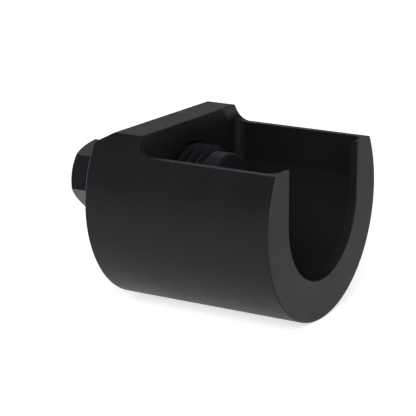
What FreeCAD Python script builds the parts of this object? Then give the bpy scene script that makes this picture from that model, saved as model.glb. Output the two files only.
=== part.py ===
import FreeCAD, Part
import math
import os
import Sketcher

# Bell-type ball-joint extractor: a turned steel bell with an open-topped cavity and a forked front,
# and a forcing screw through its back wall that carries a swivelling thrust pad.
#
# The screw's axis lies along X. The fork faces +X, the hexagon drive faces -X, and the cavity opens
# upwards, +Z. The origin is under the middle of the whole tool, on the surface it lies on.

SIZES = [
    # the bell, measured from its front face and from its axis
    ("body_radius", 40.0),          # outside of the turned bell
    ("body_length", 72.0),
    ("rim_break", 0.5),             # edge break on the two outer rims
    ("back_wall", 18.5),            # thickness of the wall that holds the screw
    ("wall_top", 25.0),             # height of the back wall's flat top above the axis
    ("side_top", 18.6),             # height of the side walls' tops above the axis
    ("step_fillet", 4.2),           # radius where the back wall rises from the side walls
    ("rear_slope_length", 6.9),     # slope from the flat top down to the back face
    ("rear_slope_drop", 3.8),
    ("cavity_radius", 32.8),        # round bottom of the cavity, and half its width
    ("cavity_rear_fillet", 4.0),
    ("cavity_front_fillet", 2.5),
    ("lip", 3.0),                   # thickness of the fork plate
    ("lip_bevel_length", 1.5),      # bevel along the fork plate's inner top edge
    ("lip_bevel_drop", 2.5),
    ("lip_bevel_fillet", 4.0),
    ("fork_width", 50.4),           # opening of the fork
    ("edge_break", 0.3),            # on the fork's front edge and the flat top's front edge
    # the thread, M33 x 3.5
    ("thread_radius", 16.5),
    ("pitch", 3.5),
    ("crest_play", 0.3),            # radial clearance at the crests of both threads
    ("flank_play", 0.08),           # further clearance of each flank along the axis
    ("bore_countersink", 2.4),      # depth of the countersink at both ends of the threaded bore
    # the forcing screw, measured from its front end
    ("screw_length", 53.6),
    ("screw_reach", 9.1),           # how far the screw stands out of the back wall, into the cavity
    ("thread_phase", 0.6),          # from the front end back to the first crest on the top side
    ("drive_length", 11.0),
    ("drive_across_flats", 22.0),
    ("drive_angle", 15.0),          # direction of the first corner, in degrees from +Y
    ("drive_end_round", 0.5),       # how far the end's chamfer reaches inside the flats
    ("drive_recess", 0.5),          # how far the neck reaches inside the drive
    ("neck_length", 2.6),
    ("neck_step", 0.6),             # how far the neck lies below the hexagon's flats
    ("screw_chamfer_length", 1.0),
    ("screw_end_step", 0.25),       # how far the chamfered ends stand above the thread's root
    # the thrust pad, its shank, the ball behind it and the ring that holds it
    ("pad_play", 0.1),              # radial clearance of the pad's head in the threaded bore
    ("pad_head", 6.4),
    ("pad_chamfer", 0.6),
    ("pad_dimple", 1.2),            # depth of the 90 degree centre mark in the pad's face
    ("swivel_gap", 0.3),            # between the pad's head and the end of the screw
    ("shank_radius", 6.0),
    ("shank_length", 15.0),
    ("shank_play", 0.05),           # radial running clearance of the shank in the screw
    ("shank_dimple", 4.0),          # depth of the 90 degree seat for the ball in the shank's end
    ("ball_radius", 4.5),
    ("ball_play", 0.05),            # between the ball and each of its seats
    ("ring_wire", 0.75),            # radius of the retaining ring's wire
    ("ring_play", 0.1),
    ("ring_setback", 6.0),          # from the back of the pad's head to the ring
    ("ring_gap_angle", 24.0),       # opening of the split ring, in degrees
]

DERIVED = [
    ("cavity_rear", "body_length - back_wall"),
    ("screw_setback", "cavity_rear - screw_reach"),
    ("pad_setback", "screw_setback - swivel_gap - pad_head"),
    ("overall_length", "screw_setback + screw_length"),
    ("front_offset", "overall_length / 2"),
    ("thread_depth", "0.6134 * pitch"),
    ("crest_flat", "pitch / 8"),
    ("thread_overrun", "2 * pitch"),
    ("root_radius", "thread_radius - thread_depth"),
    ("bore_radius", "root_radius + crest_play"),
    ("groove_radius", "thread_radius + crest_play"),
    ("thread_length", "screw_length - drive_length - neck_length"),
    ("screw_end_radius", "root_radius + screw_end_step"),
    ("drive_corner", "drive_across_flats / 2 / cos(30 deg)"),
    ("neck_radius", "drive_across_flats / 2 - neck_step"),
    ("pad_radius", "bore_radius - pad_play"),
    ("socket_radius", "shank_radius + shank_play"),
    ("ball_seat", "ball_radius * sqrt(2) + ball_play"),
    ("ball_setback", "pad_head + shank_length - shank_dimple + ball_seat"),
    ("socket_depth", "ball_setback - pad_head - swivel_gap + ball_seat"),
    ("ring_space", "ring_wire + ring_play"),
]

SHEET = "Sizes"
OVERSIZE = 3.0  # how far a cutting outline reaches past the material that it removes
EMBED = 0.2  # how far a thread tooth's outline starts below the surface that it joins
NEAR = 1e-3  # how close two positions count as the same

doc = FreeCAD.newDocument("BallJointExtractor")


def add_sheet():
    """The driving sizes, then the sizes worked out from them, each in a cell with an alias."""
    sheet = doc.addObject("Spreadsheet::Sheet", SHEET)
    for row, (alias, value) in enumerate(SIZES, start=1):
        sheet.set(f"A{row}", alias)
        sheet.set(f"B{row}", str(value))
        sheet.setAlias(f"B{row}", alias)
    for row, (alias, formula) in enumerate(DERIVED, start=len(SIZES) + 2):
        sheet.set(f"A{row}", alias)
        sheet.set(f"B{row}", "=" + formula)
        sheet.setAlias(f"B{row}", alias)
        doc.recompute()
    return sheet


sheet = add_sheet()
NAMES = {alias for alias, _ in SIZES + DERIVED}


def bound(formula):
    """Writes a formula over size names as an expression that FreeCAD can bind to."""
    words = []
    word = ""
    for letter in str(formula) + " ":
        if letter.isalnum() or letter == "_":
            word += letter
            continue
        words.append(f"{SHEET}.{word}" if word in NAMES else word)
        words.append(letter)
        word = ""
    return "".join(words).strip()


def value_of(formula):
    """The number that a formula over size names gives now."""
    result = sheet.evalExpression(bound(formula))
    return float(getattr(result, "Value", result))


def new_body(label):
    body = doc.addObject("PartDesign::Body", label)
    body.Label = label
    return body


def datum(body, role):
    """One of the body's own origin planes or axes."""
    return next(item for item in body.Origin.OriginFeatures if item.Role == role)


def pin_point(sketch, geometry, corner, x, y):
    """Ties one point of a sketch to two formulas."""
    for kind, formula in (("DistanceX", x), ("DistanceY", y)):
        number = value_of(formula)
        index = sketch.addConstraint(Sketcher.Constraint(kind, -1, 1, geometry, corner, number))
        sketch.setExpression(f"Constraints[{index}]", bound(formula))


def new_sketch(body, name, plane, offset="0"):
    sketch = body.newObject("Sketcher::SketchObject", name)
    sketch.AttachmentSupport = [(datum(body, plane), "")]
    sketch.MapMode = "FlatFace"
    sketch.setExpression("AttachmentOffset.Base.z", bound(offset))
    return sketch


def add_outline(sketch, points):
    """Draws a closed outline.

    Each point is (x, y) for a straight run to the next point, or (x, y, radius, side) for an arc of
    that radius, whose centre lies on the left (+1) or on the right (-1) of the way to the next point.
    """
    z_up = FreeCAD.Vector(0, 0, 1)
    first = sketch.GeometryCount
    places = [FreeCAD.Vector(value_of(p[0]), value_of(p[1]), 0) for p in points]
    ends = []
    for index, point in enumerate(points):
        start = places[index]
        stop = places[(index + 1) % len(points)]
        if len(point) == 2:
            sketch.addGeometry(Part.LineSegment(start, stop), False)
            ends.append((1, 2))
            continue
        radius = value_of(point[2])
        side = point[3]
        chord = stop - start
        rise = math.sqrt(max(radius ** 2 - (chord.Length / 2) ** 2, 0.0))
        left = z_up.cross(chord).normalize()
        centre = start + chord * 0.5 + left * (rise * side)
        low, high = (start, stop) if side > 0 else (stop, start)
        angles = [math.atan2(end.y - centre.y, end.x - centre.x) for end in (low, high)]
        circle = Part.Circle(centre, z_up, radius)
        sketch.addGeometry(Part.ArcOfCircle(circle, angles[0], angles[1]), False)
        ends.append((1, 2) if side > 0 else (2, 1))
    count = len(points)
    for index, point in enumerate(points):
        following = (index + 1) % count
        sketch.addConstraint(Sketcher.Constraint(
            "Coincident", first + index, ends[index][1], first + following, ends[following][0]
        ))
        pin_point(sketch, first + index, ends[index][0], point[0], point[1])
    for index, point in enumerate(points):
        if len(point) > 2:
            row = sketch.addConstraint(Sketcher.Constraint("Radius", first + index, value_of(point[2])))
            sketch.setExpression(f"Constraints[{row}]", bound(point[2]))


def outline(body, name, plane, points, offset="0"):
    sketch = new_sketch(body, name, plane, offset)
    add_outline(sketch, points)
    return sketch


def settle(body, feature, adds):
    """Recomputes one new feature and makes sure that it added or removed material as meant."""
    before = feature.BaseFeature.Shape.Volume if feature.BaseFeature else 0.0
    doc.recompute()
    if not feature.isValid():
        raise RuntimeError(f"{body.Label}: {feature.Label} did not build")
    change = feature.Shape.Volume - before
    if (change > 0) != adds or abs(change) < 1e-3:
        raise RuntimeError(f"{body.Label}: {feature.Label} changed the volume by {change:.3f}")
    return feature


def turn(body, name, points, cut=False, angle="360", middle=False):
    """Revolves an outline about the tool's axis, as a solid or as a cut."""
    kind = "PartDesign::Groove" if cut else "PartDesign::Revolution"
    sketch = outline(body, name + "_outline", "XZ_Plane", points)
    feature = body.newObject(kind, name)
    feature.Profile = sketch
    feature.ReferenceAxis = (datum(body, "X_Axis"), [""])
    feature.setExpression("Angle", bound(angle))
    feature.Midplane = middle
    return settle(body, feature, adds=not cut)


def extrude(body, name, plane, points, length, cut=False, reverse=False, middle=False, offset="0",
            taper="0"):
    """Pads or pockets an outline by a length, growing by the taper angle along the way."""
    kind = "PartDesign::Pocket" if cut else "PartDesign::Pad"
    sketch = outline(body, name + "_outline", plane, points, offset)
    feature = body.newObject(kind, name)
    feature.Profile = sketch
    feature.setExpression("Length", bound(length))
    feature.setExpression("TaperAngle", bound(taper))
    feature.Reversed = reverse
    feature.Midplane = middle
    return settle(body, feature, adds=not cut)


def break_edges(body, name, width, chosen):
    """Chamfers the body's edges whose bounding boxes pass a test."""
    base = body.Tip
    edges = [f"Edge{number}" for number, edge in enumerate(base.Shape.Edges, start=1)
             if chosen(edge.BoundBox)]
    feature = body.newObject("PartDesign::Chamfer", name)
    feature.Base = (base, edges)
    feature.setExpression("Size", bound(width))
    return settle(body, feature, adds=False)


def thread(body, name, length, points, cut=False):
    """Sweeps a tooth outline along a right-hand helix about the tool's axis, towards -X."""
    kind = "PartDesign::SubtractiveHelix" if cut else "PartDesign::AdditiveHelix"
    sketch = outline(body, name + "_outline", "XZ_Plane", points)
    feature = body.newObject(kind, name)
    feature.Profile = sketch
    feature.ReferenceAxis = (datum(body, "X_Axis"), [""])
    feature.Mode = "pitch-height-angle"
    feature.setExpression("Pitch", bound("pitch"))
    feature.setExpression("Height", bound(length))
    feature.Reversed = True
    return settle(body, feature, adds=not cut)


def tooth(start, root, crest, play):
    """Outline of one thread tooth whose middle is at start, grown by play along the axis."""
    slope = f"({crest} - ({root})) * tan(30 deg)"
    half_crest = f"(crest_flat / 2 + {play})"
    half_root = f"(crest_flat / 2 + {play} + {slope})"
    return [
        (f"{start} - {half_root}", root),
        (f"{start} + {half_root}", root),
        (f"{start} + {half_crest}", crest),
        (f"{start} - {half_crest}", crest),
    ]


def place(item, x, z="body_radius"):
    """Puts a sub-part's own origin at a distance behind the bell's front face, on the axis."""
    item.setExpression("Placement.Base.x", bound(f"front_offset - ({x})"))
    item.setExpression("Placement.Base.z", bound(z))


# ---------------------------------------------------------------- housing

def cut_top(body):
    """Mills the top away: low side walls in front, a flat-topped back wall, and its rear slope."""
    back = "-body_length"
    extrude(body, "top_cut", "XZ_Plane", [
        (OVERSIZE, "side_top"),
        ("-(cavity_rear - step_fillet)", "side_top", "step_fillet", -1),
        ("-cavity_rear", "side_top + step_fillet"),
        ("-cavity_rear", "wall_top"),
        (f"{back} + rear_slope_length", "wall_top"),
        (back, "wall_top - rear_slope_drop"),
        (f"{back} - {OVERSIZE}", "wall_top - rear_slope_drop"),
        (f"{back} - {OVERSIZE}", f"body_radius + {OVERSIZE}"),
        (OVERSIZE, f"body_radius + {OVERSIZE}"),
    ], f"2 * body_radius + {OVERSIZE}", cut=True, middle=True)


def cut_cavity(body):
    """Hollows the bell: a round bottom about the axis with straight walls above it."""
    rear = "-cavity_rear"
    front = "-lip"
    turn(body, "cavity_bottom", [
        (rear, "0"),
        (rear, "-(cavity_radius - cavity_rear_fillet)", "cavity_rear_fillet", 1),
        (f"{rear} + cavity_rear_fillet", "-cavity_radius"),
        (f"{front} - cavity_front_fillet", "-cavity_radius", "cavity_front_fillet", 1),
        (front, "-(cavity_radius - cavity_front_fillet)"),
        (front, "0"),
    ], cut=True, angle="180", middle=True)
    extrude(body, "cavity_walls", "XY_Plane", [
        (f"{rear} + cavity_rear_fillet", "-cavity_radius"),
        (f"{front} - cavity_front_fillet", "-cavity_radius", "cavity_front_fillet", 1),
        (front, "-(cavity_radius - cavity_front_fillet)"),
        (front, "cavity_radius - cavity_front_fillet", "cavity_front_fillet", 1),
        (f"{front} - cavity_front_fillet", "cavity_radius"),
        (f"{rear} + cavity_rear_fillet", "cavity_radius", "cavity_rear_fillet", 1),
        (rear, "cavity_radius - cavity_rear_fillet"),
        (rear, "-(cavity_radius - cavity_rear_fillet)", "cavity_rear_fillet", 1),
    ], f"wall_top + {OVERSIZE}", cut=True, reverse=True)


def cut_fork(body):
    """Opens the front plate with a round-bottomed slot, and bevels its inner top edge."""
    half = "fork_width / 2"
    top = f"side_top + {OVERSIZE}"
    extrude(body, "fork_slot", "YZ_Plane", [
        (f"-{half}", top),
        (f"-{half}", "0", half, 1),
        ("0", f"-{half}", half, 1),
        (half, "0"),
        (half, top),
    ], f"lip + cavity_front_fillet + {OVERSIZE}", cut=True, offset=OVERSIZE)
    front = "-(lip - lip_bevel_length)"
    extrude(body, "lip_bevel", "XY_Plane", [
        ("-cavity_rear / 2", "-cavity_radius"),
        (f"{front} - lip_bevel_fillet", "-cavity_radius", "lip_bevel_fillet", 1),
        (front, "-(cavity_radius - lip_bevel_fillet)"),
        (front, "cavity_radius - lip_bevel_fillet", "lip_bevel_fillet", 1),
        (f"{front} - lip_bevel_fillet", "cavity_radius"),
        ("-cavity_rear / 2", "cavity_radius"),
    ], "lip_bevel_drop", cut=True, offset="side_top", taper="-atan(lip_bevel_length / lip_bevel_drop)")


def break_housing_edges(body):
    """Breaks the fork's front edge and the front edge of the flat top."""
    fork_half = value_of("fork_width / 2") + NEAR
    top = value_of("wall_top") - NEAR
    rear = value_of("-cavity_rear") - NEAR
    break_edges(body, "fork_edge", "edge_break",
                lambda box: box.XMin > -NEAR and max(-box.YMin, box.YMax) < fork_half)
    break_edges(body, "flat_top_edge", "edge_break",
                lambda box: box.ZMin > top and box.XMin > rear)


def cut_bore(body):
    """Bores, countersinks and threads the back wall for the forcing screw."""
    rear = "-body_length"
    front = "-cavity_rear"
    mouth = "bore_radius + bore_countersink"
    turn(body, "screw_bore", [
        (f"{rear} - {OVERSIZE}", "0"),
        (f"{front} + {OVERSIZE}", "0"),
        (f"{front} + {OVERSIZE}", mouth),
        (front, mouth),
        (f"{front} - bore_countersink", "bore_radius"),
        (f"{rear} + bore_countersink", "bore_radius"),
        (rear, mouth),
        (f"{rear} - {OVERSIZE}", mouth),
    ], cut=True)
    crests = "floor((screw_reach - thread_phase) / pitch) - 1"  # crests left in front of the start
    start = f"-(screw_setback + thread_phase + ({crests}) * pitch)"
    thread(body, "bore_thread", "back_wall + 2 * thread_overrun",
           tooth(start, f"(bore_radius - {EMBED})", "groove_radius", "flank_play"), cut=True)


def make_housing():
    body = new_body("housing")
    turn(body, "blank", [
        ("-body_length", "0"),
        ("0", "0"),
        ("0", "body_radius - rim_break"),
        ("-rim_break", "body_radius"),
        ("-(body_length - rim_break)", "body_radius"),
        ("-body_length", "body_radius - rim_break"),
    ])
    cut_top(body)
    cut_cavity(body)
    cut_fork(body)
    break_housing_edges(body)
    cut_bore(body)
    place(body, "0")
    return body


# ---------------------------------------------------------------- forcing screw

def make_screw():
    body = new_body("forcing_screw")
    rear = "-screw_length"
    shoulder = f"{rear} + drive_length"
    turn(body, "core", [
        (rear, "0"),
        ("0", "0"),
        ("0", "root_radius"),
        ("-thread_length", "root_radius"),
        ("-thread_length", "neck_radius"),
        (f"{shoulder} - drive_recess", "neck_radius"),
        (f"{shoulder} - drive_recess", "socket_radius"),
        (rear, "socket_radius"),
    ])
    thread(body, "screw_thread", "thread_length + thread_overrun",
           tooth("(pitch - thread_phase)", f"(root_radius - {EMBED})", "thread_radius", "0"))
    big = f"thread_radius + {OVERSIZE}"
    slope = "screw_chamfer_length / (thread_radius - screw_end_radius)"
    turn(body, "front_chamfer", [
        ("0", "0"),
        ("thread_overrun", "0"),
        ("thread_overrun", big),
        (f"-({big} - screw_end_radius) * {slope}", big),
        ("0", "screw_end_radius"),
    ], cut=True)
    turn(body, "thread_end", [
        ("-thread_length", "neck_radius"),
        ("-thread_length", "screw_end_radius"),
        (f"-thread_length + ({big} - screw_end_radius) * {slope}", big),
        (rear, big),
        (rear, "neck_radius"),
    ], cut=True)
    corners = [(f"drive_corner * cos((drive_angle + {60 * k}) * 1 deg)",
                f"drive_corner * sin((drive_angle + {60 * k}) * 1 deg)") for k in range(6)]
    extrude(body, "drive_hexagon", "YZ_Plane", corners, "drive_length", offset=rear)
    inner = "(drive_across_flats / 2 - drive_end_round)"
    outer = f"(drive_corner + {OVERSIZE})"
    for name, at, inwards, away in (("drive_rear_chamfer", rear, "+", "-"),
                                    ("drive_front_chamfer", shoulder, "-", "+")):
        turn(body, name, [
            (f"{at} {away} neck_length / 2", inner),
            (at, inner),
            (f"{at} {inwards} ({outer} - {inner}) * tan(30 deg)", outer),
            (f"{at} {away} neck_length / 2", outer),
        ], cut=True)
    turn(body, "pad_socket", [
        ("-socket_depth", "0"),
        (OVERSIZE, "0"),
        (OVERSIZE, "socket_radius"),
        ("-(socket_depth - socket_radius)", "socket_radius"),
    ], cut=True)
    cut_ring_groove(body, "-(ring_setback - swivel_gap)", "socket_radius - ring_wire",
                    "shank_radius + ring_space")
    place(body, "screw_setback")
    return body


def cut_ring_groove(body, x, low, high):
    """Turns the groove that half of the retaining ring sits in."""
    turn(body, "ring_groove", [
        (f"{x} - ring_space", low),
        (f"{x} + ring_space", low),
        (f"{x} + ring_space", high),
        (f"{x} - ring_space", high),
    ], cut=True)


# ---------------------------------------------------------------- thrust pad, ball and ring

def make_pad():
    """A hard disc that presses on the stud, on a shank that turns in the screw's end."""
    body = new_body("thrust_pad")
    back = "-pad_head"
    shank_end = "-(pad_head + shank_length)"
    turn(body, "blank", [
        (f"{shank_end} + shank_dimple", "0"),
        ("-pad_dimple", "0"),
        ("0", "pad_dimple"),
        ("0", "pad_radius - pad_chamfer"),
        ("-pad_chamfer", "pad_radius"),
        (f"{back} + pad_chamfer / 2", "pad_radius"),
        (back, "pad_radius - pad_chamfer / 2"),
        (back, "shank_radius"),
        (shank_end, "shank_radius"),
        (shank_end, "shank_dimple"),
    ])
    cut_ring_groove(body, f"{back} - ring_setback", "shank_radius - ring_wire - ring_space",
                    f"shank_radius + {OVERSIZE}")
    place(body, "pad_setback")
    return body


def make_ball():
    """The hardened ball that carries the thrust from the screw to the pad."""
    ball = doc.addObject("Part::Sphere", "thrust_ball")
    ball.Label = "thrust_ball"
    ball.setExpression("Radius", bound("ball_radius"))
    place(ball, "pad_setback + ball_setback")
    return ball


def make_ring():
    """The split wire ring that keeps the pad's shank in the screw."""
    ring = doc.addObject("Part::Torus", "retaining_ring")
    ring.Label = "retaining_ring"
    ring.setExpression("Radius1", bound("shank_radius"))
    ring.setExpression("Radius2", bound("ring_wire"))
    ring.setExpression("Angle3", bound("360 - ring_gap_angle"))
    ring.Placement = FreeCAD.Placement(FreeCAD.Vector(), FreeCAD.Rotation(FreeCAD.Vector(0, 1, 0), 90))
    place(ring, "pad_setback + pad_head + ring_setback")
    return ring


def check(parts):
    """Stops unless every object recomputed well and every sub-part is one valid closed solid."""
    for item in doc.Objects:
        if {"Invalid", "Error"} & set(item.State):
            raise RuntimeError(f"{item.Label}: {item.State}")
    for part in parts:
        shape = part.Shape
        if shape.isNull() or not shape.isValid() or len(shape.Solids) != 1 or shape.Volume <= 0:
            raise RuntimeError(f"{part.Label}: not one valid solid")


def main():
    parts = [make_housing(), make_screw(), make_pad(), make_ball(), make_ring()]
    doc.recompute()
    check(parts)
    os.makedirs("parts", exist_ok=True)
    for part in parts:
        part.Shape.exportStep(f"parts/{part.Label}.step")
        print(f"{part.Label}: {part.Shape.Volume / 1000:.2f} cm3")


main()
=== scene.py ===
"""Looks of a bell-type ball-joint extractor: black-oxide steel on a pale studio floor."""

import math

import bpy
from mathutils import Matrix, Vector


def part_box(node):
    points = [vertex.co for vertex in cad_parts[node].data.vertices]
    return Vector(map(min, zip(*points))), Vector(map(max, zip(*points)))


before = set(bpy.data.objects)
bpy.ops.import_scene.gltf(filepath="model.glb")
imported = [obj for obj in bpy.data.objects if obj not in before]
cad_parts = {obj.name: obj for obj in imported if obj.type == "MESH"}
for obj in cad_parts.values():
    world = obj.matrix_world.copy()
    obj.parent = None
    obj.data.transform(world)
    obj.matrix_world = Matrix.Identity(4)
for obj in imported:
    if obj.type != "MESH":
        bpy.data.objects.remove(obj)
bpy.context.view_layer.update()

# ---------------------------------------------------------------- places, from the frame

BELL_LOW, BELL_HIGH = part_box("housing")
BELL_RADIUS = (BELL_HIGH.y - BELL_LOW.y) / 2
AXIS_HEIGHT = BELL_LOW.z + BELL_RADIUS
FORK_CENTRE = Vector((BELL_HIGH.x, 0.0, AXIS_HEIGHT))
MM = 0.001
MILLED_RADIUS = 33.0 * MM  # the milled cavity lies inside this radius, under this height and behind this place
MILLED_TOP = AXIS_HEIGHT + 24.8 * MM
MILLED_FRONT = BELL_HIGH.x - 3.2 * MM
MILLED_BLEND = 0.2 * MM

# ---------------------------------------------------------------- camera

VIEW_AZIMUTH = math.radians(30.76)
VIEW_ELEVATION = math.radians(14.96)
VIEW_ROLL = math.radians(0.155)
VIEW_DISTANCE = 15.636 * BELL_RADIUS
VIEW_ASIDE = -0.994 * BELL_RADIUS  # how far the view's middle lies left of the fork's centre
VIEW_LENS = 157.74
SENSOR = 36.0
NEAREST_SEEN = 0.01
FARTHEST_SEEN = 50.0


def add_camera():
    """Looks at the tool from above, past the near side of the fork."""
    back = Vector((
        math.sin(VIEW_AZIMUTH) * math.cos(VIEW_ELEVATION),
        -math.cos(VIEW_AZIMUTH) * math.cos(VIEW_ELEVATION),
        math.sin(VIEW_ELEVATION),
    ))
    right = Vector((math.cos(VIEW_AZIMUTH), math.sin(VIEW_AZIMUTH), 0.0))
    up = back.cross(right)
    rolled_right = right * math.cos(VIEW_ROLL) + up * math.sin(VIEW_ROLL)
    rolled_up = back.cross(rolled_right)
    turn = Matrix((rolled_right, rolled_up, back)).transposed().to_4x4()
    data = bpy.data.cameras.new("view")
    data.lens = VIEW_LENS
    data.sensor_width = SENSOR
    data.clip_start = NEAREST_SEEN
    data.clip_end = FARTHEST_SEEN
    camera = bpy.data.objects.new("view", data)
    place = FORK_CENTRE + back * VIEW_DISTANCE + right * VIEW_ASIDE
    camera.matrix_world = Matrix.Translation(place) @ turn
    bpy.context.scene.collection.objects.link(camera)
    bpy.context.scene.camera = camera


# ---------------------------------------------------------------- floor and light

WORLD_STRENGTH = 0.135
FLOOR_HALF_SIDE = 6.0
FLOOR_GLOW = 0.71
FLOOR_TONE = 0.85
FLOOR_ROUGHNESS = 0.7
FLOOR_SPECULAR = 0.1
WHITE = (1.0, 1.0, 1.0)
SOFTBOXES = {
    # name: place, size and power in watts; each faces the tool
    "top": ((0.0, 0.1, 1.1), (1.2, 1.2), 1.7),
    "behind": ((-0.5, 1.2, 0.7), (1.2, 0.6), 1.75),
    "left": ((-1.2, -0.3, 0.6), (0.7, 0.7), 1.55),
    "camera": ((0.5, -1.3, 0.9), (0.7, 0.7), 14.8),
}


def add_floor():
    """A pale, softly glowing studio table that runs past the frame on every side."""
    side = FLOOR_HALF_SIDE
    mesh = bpy.data.meshes.new("floor")
    corners = [(-side, -side, 0.0), (side, -side, 0.0), (side, side, 0.0), (-side, side, 0.0)]
    mesh.from_pydata(corners, [], [(0, 1, 2, 3)])
    floor = bpy.data.objects.new("floor", mesh)
    bpy.context.scene.collection.objects.link(floor)
    material = bpy.data.materials.new("studio_floor")
    material.use_nodes = True
    shader = material.node_tree.nodes["Principled BSDF"]
    shader.inputs["Base Color"].default_value = (FLOOR_TONE, FLOOR_TONE, FLOOR_TONE, 1.0)
    shader.inputs["Roughness"].default_value = FLOOR_ROUGHNESS
    shader.inputs["Specular IOR Level"].default_value = FLOOR_SPECULAR
    shader.inputs["Emission Color"].default_value = (*WHITE, 1.0)
    shader.inputs["Emission Strength"].default_value = FLOOR_GLOW
    mesh.materials.append(material)


def add_softbox(name, place, size, power):
    """An area light that faces the tool and stays out of the camera's sight."""
    data = bpy.data.lights.new(name, "AREA")
    data.shape = "RECTANGLE"
    data.size, data.size_y = size
    data.energy = power
    lamp = bpy.data.objects.new(name, data)
    lamp.location = place
    lamp.rotation_euler = (FORK_CENTRE - Vector(place)).to_track_quat("-Z", "Y").to_euler()
    lamp.visible_camera = False
    bpy.context.scene.collection.objects.link(lamp)


def add_light():
    """Even light from all round, and the softboxes."""
    world = bpy.data.worlds.new("studio")
    bpy.context.scene.world = world
    world.use_nodes = True
    background = world.node_tree.nodes["Background"]
    background.inputs["Color"].default_value = (*WHITE, 1.0)
    background.inputs["Strength"].default_value = WORLD_STRENGTH
    for name, (place, size, power) in SOFTBOXES.items():
        add_softbox(name, place, size, power)


# ---------------------------------------------------------------- materials

# how often a pattern repeats, per metre
CLOUD_SCALE = 70.0
FINE_SCALE = 2600.0
EDGE_WEAR_AND_HIGHLIGHT_SCALE = 600.0
SPECK_SCALE = 210.0
BRIGHT_CLOUD_SCALE = 250.0
SCRATCH_STRETCH = (120.0, 3500.0, 3500.0)

SPECK_SIZE = 0.05  # in cells of the pattern
SPECK_SHARE = 0.22
SCRATCH_TURNS = ((0.3, 0.5, 0.7), (1.2, -0.4, 2.0))
SCRATCH_SHARE = 0.235
# reach of the lightened band along edges, which is partly wear and partly a painted highlight
EDGE_WEAR_AND_HIGHLIGHT_REACH = 0.45 * MM
EDGE_SAMPLES = 6
NOISE_LOW, NOISE_HIGH = 0.3, 0.7  # where a noise's ordinary values begin and end
RING_LOW, RING_HIGH = 0.25, 0.75
GLOSS_SWING = 0.05
CLOUD_SWING = 0.03
OXIDE_RELIEF = 0.012 * MM
BRIGHT_RELIEF = 0.004 * MM
BRIGHT_GLOSS_SWING = 0.10


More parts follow.
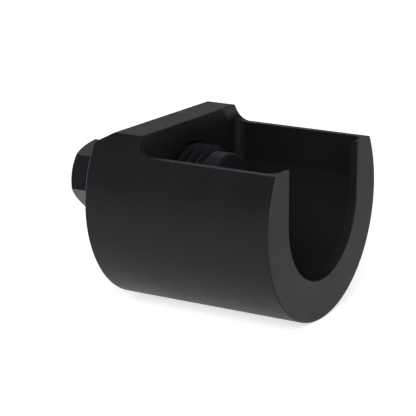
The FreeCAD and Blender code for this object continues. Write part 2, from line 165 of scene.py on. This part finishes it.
class Surface:
    """A material that is put together node by node."""

    def __init__(self, name, metallic, specular, sheen_tint):
        self.material = bpy.data.materials.new(name)
        self.material.use_nodes = True
        self.tree = self.material.node_tree
        self.shader = self.tree.nodes["Principled BSDF"]
        self.shader.inputs["Metallic"].default_value = metallic
        self.shader.inputs["Specular IOR Level"].default_value = specular
        self.shader.inputs["Specular Tint"].default_value = (*sheen_tint, 1.0)
        place = self.add("ShaderNodeTexCoord").outputs["Object"]
        split = self.add("ShaderNodeSeparateXYZ", Vector=place)
        self.place = place
        self.x = split.outputs["X"]
        self.y = split.outputs["Y"]
        self.z = split.outputs["Z"]
        height = self.maths("SUBTRACT", self.z, AXIS_HEIGHT)
        self.radius = self.maths("SQRT", self.maths(
            "ADD", self.maths("MULTIPLY", self.y, self.y), self.maths("MULTIPLY", height, height)))

    def add(self, kind, **inputs):
        """A new node, with each named input set to a value or linked to another node's output."""
        node = self.tree.nodes.new(kind)
        for name, value in inputs.items():
            self.set(node.inputs[name.replace("_", " ")], value)
        return node

    def set(self, socket, value):
        """Links a node's output to a socket, or sets the socket to a plain value."""
        if isinstance(value, bpy.types.NodeSocket):
            self.tree.links.new(value, socket)
        else:
            socket.default_value = value

    def maths(self, operation, *values):
        """One step of arithmetic on numbers or other nodes' outputs."""
        node = self.tree.nodes.new("ShaderNodeMath")
        node.operation = operation
        for socket, value in zip(node.inputs, values):
            self.set(socket, value)
        return node.outputs[0]

    def fade(self, value, start, stop, low=0.0, high=1.0):
        """Carries a value smoothly from low at start to high at stop."""
        node = self.add("ShaderNodeMapRange", Value=value)
        node.interpolation_type = "SMOOTHSTEP"
        limits = (("From Min", start), ("From Max", stop), ("To Min", low), ("To Max", high))
        for name, number in limits:
            node.inputs[name].default_value = number
        return node.outputs["Result"]

    def noise(self, per_metre, detail=3.0, roughness=0.5, along=None):
        """Noise in three directions, or along one distance only."""
        node = self.add("ShaderNodeTexNoise", Scale=per_metre, Detail=detail, Roughness=roughness)
        if along is None:
            self.set(node.inputs["Vector"], self.place)
        else:
            node.noise_dimensions = "1D"
            self.set(node.inputs["W"], along)
        return node.outputs["Fac"]

    def tint(self, share, low, high):
        """A colour that runs from one to another."""
        node = self.tree.nodes.new("ShaderNodeMix")
        node.data_type = "RGBA"
        colours = [socket for socket in node.inputs if socket.type == "RGBA"]
        self.set(node.inputs["Factor"], share)
        for socket, colour in zip(colours, (low, high)):
            self.set(socket, colour if isinstance(colour, bpy.types.NodeSocket) else (*colour, 1.0))
        return next(socket for socket in node.outputs if socket.type == "RGBA")

    def specks(self, per_metre, size, share):
        """Small separate marks: a size in cells, on a share of the cells."""
        node = self.add("ShaderNodeTexVoronoi", Vector=self.place, Scale=per_metre)
        chosen = self.add("ShaderNodeSeparateColor", Color=node.outputs["Color"]).outputs[0]
        near = self.fade(node.outputs["Distance"], size, size * 0.4)
        return self.maths("MULTIPLY", near, self.maths("GREATER_THAN", chosen, 1.0 - share))

    def scratches(self, angle, share):
        """Fine, short, nearly straight marks in one direction."""
        turned = self.add("ShaderNodeMapping", Vector=self.place, Rotation=angle, Scale=SCRATCH_STRETCH)
        streak = self.add("ShaderNodeTexNoise", Vector=turned.outputs["Vector"], Scale=1.0, Detail=1.0)
        return self.fade(streak.outputs["Fac"], 1.0 - share, 1.0 - share * 0.75)

    def edges(self, reach):
        """How near a sharp edge is, from 0 on open faces to 1 on the edge."""
        node = self.tree.nodes.new("ShaderNodeBevel")
        node.samples = EDGE_SAMPLES
        node.inputs["Radius"].default_value = reach
        flat = self.add("ShaderNodeNewGeometry").outputs["Normal"]
        match = self.tree.nodes.new("ShaderNodeVectorMath")
        match.operation = "DOT_PRODUCT"
        self.set(match.inputs[0], node.outputs["Normal"])
        self.set(match.inputs[1], flat)
        return self.fade(match.outputs["Value"], 0.985, 0.80)

    def milled(self):
        """Which share of the surface lies in the bell's milled cavity: 1 inside it, 0 outside."""
        shares = [
            self.fade(value, limit + MILLED_BLEND, limit)
            for value, limit in ((self.radius, MILLED_RADIUS), (self.z, MILLED_TOP), (self.x, MILLED_FRONT))
        ]
        return self.maths("MULTIPLY", shares[0], self.maths("MULTIPLY", shares[1], shares[2]))

    def finish(self, colour, roughness, height, depth):
        """Wires the colour, roughness and bump into the shader."""
        self.set(self.shader.inputs["Base Color"], colour)
        self.set(self.shader.inputs["Roughness"], roughness)
        bump = self.add("ShaderNodeBump", Height=height, Strength=1.0, Distance=depth)
        self.set(self.shader.inputs["Normal"], bump.outputs["Normal"])
        return self.material


def oxide_steel(name, dark, light, worn_and_highlight, specular, glint, gloss, grain_scale, marks, edge_wear_and_highlight,
                milled_gloss=0.0):
    """Black-oxide steel with turning marks, faint clouding, specks, scratches, and lighter edges that are
    partly wear and partly painted highlight.

    gloss is the roughness of turned faces, and milled_gloss that of the bell's milled cavity, if it has one.
    """
    face = Surface(name, 0.0, specular, glint)
    clouds = face.noise(CLOUD_SCALE, detail=4.0, roughness=0.6)
    fine = face.noise(FINE_SCALE, detail=4.0, roughness=0.65)
    turning = face.noise(grain_scale, detail=2.0, along=face.maths("ADD", face.x, face.radius))
    # lighter edges: partly wear, partly a painted highlight standing in for light caught along the edges
    worn_and_highlit_edge = face.maths("MULTIPLY", face.edges(EDGE_WEAR_AND_HIGHLIGHT_REACH),
                      face.fade(face.noise(EDGE_WEAR_AND_HIGHLIGHT_SCALE), NOISE_LOW, 0.6, 0.25, 1.0))
    specks = face.specks(SPECK_SCALE, SPECK_SIZE, SPECK_SHARE)
    scratch = face.maths("ADD", *[face.scratches(turn, SCRATCH_SHARE) for turn in SCRATCH_TURNS])
    damage = face.maths("MULTIPLY", face.maths("MAXIMUM", specks, scratch), marks)
    tone = face.maths("ADD", face.fade(clouds, NOISE_LOW, NOISE_HIGH, 0.0, 0.7),
                      face.fade(fine, NOISE_LOW, NOISE_HIGH, 0.0, 0.3))
    colour = face.tint(tone, dark, light)
    # edges tinted toward the lighter worn colour: worn metal mixed with a painted edge highlight
    colour = face.tint(face.maths("MULTIPLY", worn_and_highlit_edge, edge_wear_and_highlight), colour, worn_and_highlight)
    colour = face.tint(damage, colour, worn_and_highlight)
    rough = face.maths("ADD", face.fade(turning, RING_LOW, RING_HIGH, gloss - GLOSS_SWING, gloss + GLOSS_SWING),
                       face.fade(clouds, NOISE_LOW, NOISE_HIGH, -CLOUD_SWING, CLOUD_SWING))
    if milled_gloss:
        rough = face.maths("ADD", rough, face.maths("MULTIPLY", face.milled(), milled_gloss - gloss))
    height = face.maths("ADD", face.maths("MULTIPLY", turning, 0.5), face.maths("MULTIPLY", fine, 0.6))
    height = face.maths("SUBTRACT", height, face.maths("MULTIPLY", damage, 0.8))
    return face.finish(colour, rough, height, OXIDE_RELIEF)


def bright_steel(name, dark, light, gloss, grain_scale):
    """Bare, ground steel with fine rings and a little clouding."""
    face = Surface(name, 1.0, 0.5, WHITE)
    clouds = face.noise(BRIGHT_CLOUD_SCALE, detail=3.0)
    rings = face.noise(grain_scale, detail=2.0, along=face.maths("ADD", face.x, face.radius))
    colour = face.tint(face.fade(clouds, NOISE_LOW, NOISE_HIGH), dark, light)
    rough = face.fade(rings, RING_LOW, RING_HIGH, gloss, gloss + BRIGHT_GLOSS_SWING)
    return face.finish(colour, rough, rings, BRIGHT_RELIEF)


def dress(node, material):
    """Gives one CAD node its material."""
    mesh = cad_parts[node].data
    mesh.materials.clear()
    mesh.materials.append(material)


add_camera()
add_floor()
add_light()
bpy.context.scene.view_settings.view_transform = "Standard"
dress("housing", oxide_steel(
    "housing_oxide", dark=(0.0043, 0.0045, 0.0050), light=(0.0067, 0.0069, 0.0077), worn_and_highlight=(0.046, 0.048, 0.052),
    specular=0.21, glint=(0.90, 0.93, 1.0), gloss=0.50, grain_scale=9000.0, marks=0.5, edge_wear_and_highlight=0.35,
    milled_gloss=0.66))
dress("forcing_screw", oxide_steel(
    "screw_oxide", dark=(0.0050, 0.0054, 0.0068), light=(0.0080, 0.0087, 0.0110), worn_and_highlight=(0.070, 0.078, 0.090),
    specular=0.33, glint=(0.82, 0.87, 1.0), gloss=0.32, grain_scale=7000.0, marks=0.35, edge_wear_and_highlight=0.5))
# the pad's edges are lightened most: wear and a painted highlight along its rim
dress("thrust_pad", oxide_steel(
    "pad_oxide", dark=(0.0050, 0.0060, 0.0078), light=(0.0080, 0.0096, 0.0125), worn_and_highlight=(0.070, 0.080, 0.095),
    specular=0.24, glint=(0.68, 0.82, 1.0), gloss=0.45, grain_scale=12000.0, marks=0.3, edge_wear_and_highlight=0.8))
dress("thrust_ball", bright_steel(
    "ball_steel", dark=(0.50, 0.51, 0.52), light=(0.60, 0.61, 0.62), gloss=0.06, grain_scale=4000.0))
dress("retaining_ring", bright_steel(
    "ring_steel", dark=(0.28, 0.28, 0.29), light=(0.38, 0.38, 0.39), gloss=0.28, grain_scale=15000.0))
